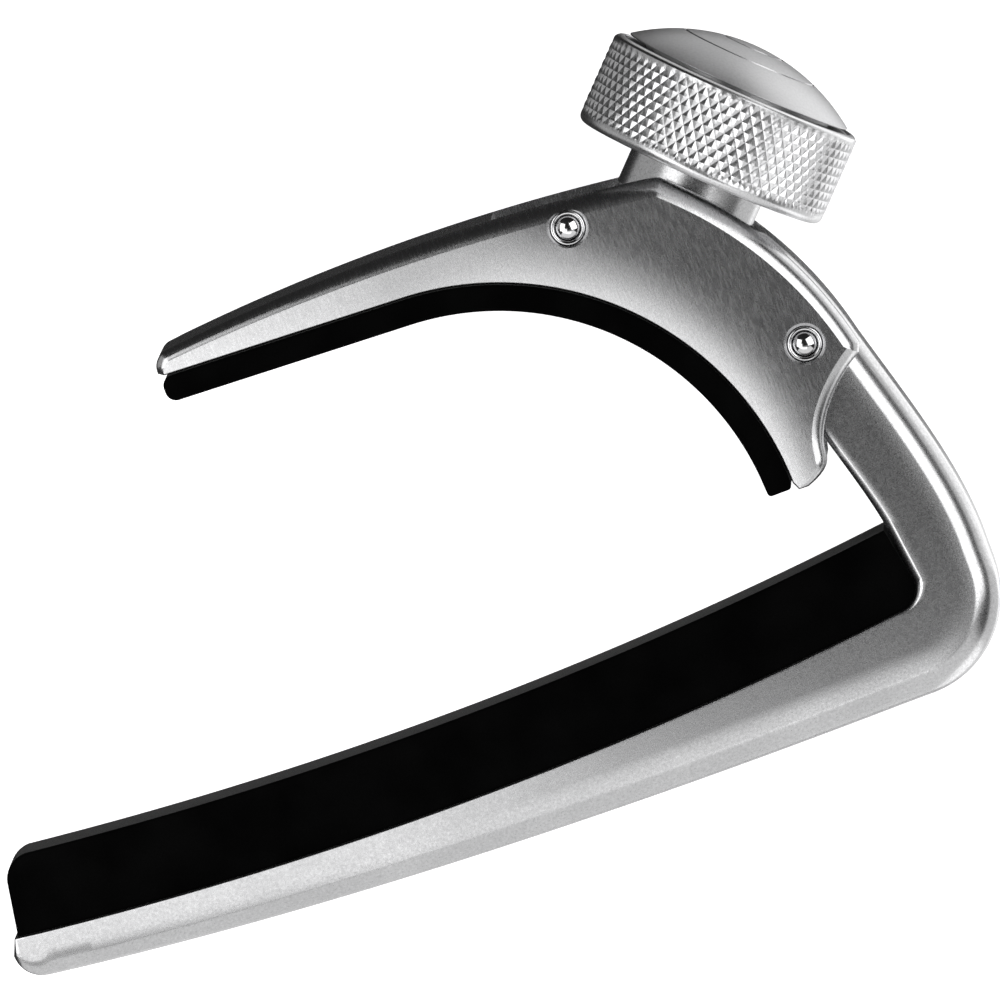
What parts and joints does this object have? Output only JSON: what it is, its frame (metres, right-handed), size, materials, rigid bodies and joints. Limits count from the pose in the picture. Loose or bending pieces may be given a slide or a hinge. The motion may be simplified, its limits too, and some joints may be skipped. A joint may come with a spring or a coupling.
{
  "type": "guitar capo",
  "caption": "Screw-adjusted guitar capo: a rubber-faced bar and a pivoting arched jaw, closed by a knurled knob.",
  "frame": {"origin": "centre of the fretboard pad's face, on the capo's mid-plane", "axes": "+X along the pad towards the spine, +Y out of the pad towards the jaw, +Z along the width and both cross pins"},
  "size_m": [0.0772, 0.0523, 0.019],
  "materials": {
    "blasted_aluminium": "satin, bead-blasted",
    "brushed_aluminium": "brushed",
    "turned_aluminium": "satin, turned",
    "knurled_aluminium": "bright, diamond knurled",
    "black_rubber": "matt black silicone rubber",
    "polished_steel": "polished steel",
    "spring_steel": "drawn spring wire",
    "bearing_bronze": "sintered bronze",
    "white_nylon": "natural nylon"
  },
  "bodies": {
    "frame_body": {"frame": "blasted_aluminium", "fretboard_pad": "black_rubber", "pivot_sleeve": "bearing_bronze", "screw_collar": "blasted_aluminium"},
    "jaw_body": {"jaw": "brushed_aluminium", "neck_pad": "black_rubber", "pivot_pin": "polished_steel", "stop_pin": "polished_steel", "pivot_bush_near": "polished_steel", "pivot_bush_far": "polished_steel", "stop_bush_near": "polished_steel", "stop_bush_far": "polished_steel", "pivot_washer_near": "white_nylon", "pivot_washer_far": "white_nylon", "return_spring": "spring_steel"},
    "foot_body": {"thrust_foot": "polished_steel", "foot_clip": "spring_steel"},
    "knob": {"knob_body": "knurled_aluminium", "knob_cap": "turned_aluminium", "adjusting_screw": "polished_steel"}
  },
  "joints": [
    {"name": "jaw_pivot", "type": "hinge", "parent": "frame_body", "child": "jaw_body", "pos_m": [0.03354, 0.01667, 0], "axis": [0, 0, 1], "range_deg": [-8, 8], "deforming": ["return_spring"]},
    {"name": "screw_feed", "type": "slide", "parent": "frame_body", "child": "foot_body", "axis": [0.6984, 0.7157, 0], "range_m": [-0.0017, 0.0017]},
    {"name": "knob_turn", "type": "hinge", "parent": "foot_body", "child": "knob", "pos_m": [0.03052, 0.03055, 0], "axis": [0.6984, 0.7157, 0], "range_deg": [-750, 750]}
  ],
  "couplings": [
    {"joint": "screw_feed", "follows": "jaw_pivot", "m_per_rad": -0.01185},
    {"joint": "knob_turn", "follows": "jaw_pivot", "ratio": -93.07}
  ]
}
